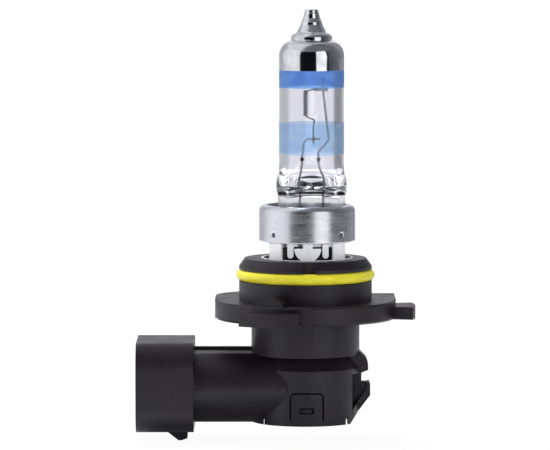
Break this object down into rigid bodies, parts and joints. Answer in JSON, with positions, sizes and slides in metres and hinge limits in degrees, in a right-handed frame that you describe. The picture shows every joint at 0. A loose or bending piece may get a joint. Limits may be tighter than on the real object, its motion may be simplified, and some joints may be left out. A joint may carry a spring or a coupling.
{
  "type": "headlight bulb",
  "caption": "Halogen headlight bulb: silver-topped quartz capsule on a steel ring, moulded bayonet cap with seal ring and right-angle connector.",
  "frame": {"origin": "the cap's axis at the flange's top face, where the lamp's reference plane lies", "axes": "+Z along the cap's axis to the glass tip, -X along the connector's axis to its mouth, -Y to the front"},
  "size_m": [0.0448, 0.0345, 0.0692],
  "materials": {
    "quartz": "clear fused quartz",
    "silver_coating": "bright silver coating",
    "blue_coating": "clear blue coating",
    "pale_blue_coating": "clear pale blue coating",
    "tungsten": "drawn tungsten wire",
    "support_metal": "drawn molybdenum",
    "foil": "thin molybdenum foil",
    "ring_steel": "turned and brushed stainless steel",
    "stamped_steel": "bright stamped stainless steel",
    "weld": "spot weld",
    "seal_rubber": "smooth yellow silicone rubber",
    "base_plastic": "moulded black glass-filled plastic",
    "cover_plastic": "moulded black plastic",
    "terminal_metal": "tin-plated brass"
  },
  "bodies": {
    "root": {"quartz_envelope": "quartz", "silver_top_coating": "silver_coating", "upper_blue_band": "blue_coating", "lower_blue_band": "pale_blue_coating", "filament": "tungsten", "upper_clamp_sleeve": "support_metal", "long_support_wire": "support_metal", "short_support_wire": "support_metal", "wire_weld_beads": "weld", "sealing_foils": "foil", "outer_leads": "support_metal", "capsule_clip": "stamped_steel", "retaining_ring": "ring_steel", "ring_weld_spots": "weld", "ring_holder": "stamped_steel", "seal_ring": "seal_rubber", "base_housing": "base_plastic", "bottom_cover": "cover_plastic", "front_terminal": "terminal_metal", "rear_terminal": "terminal_metal", "lead_welds": "weld"}
  },
  "joints": []
}
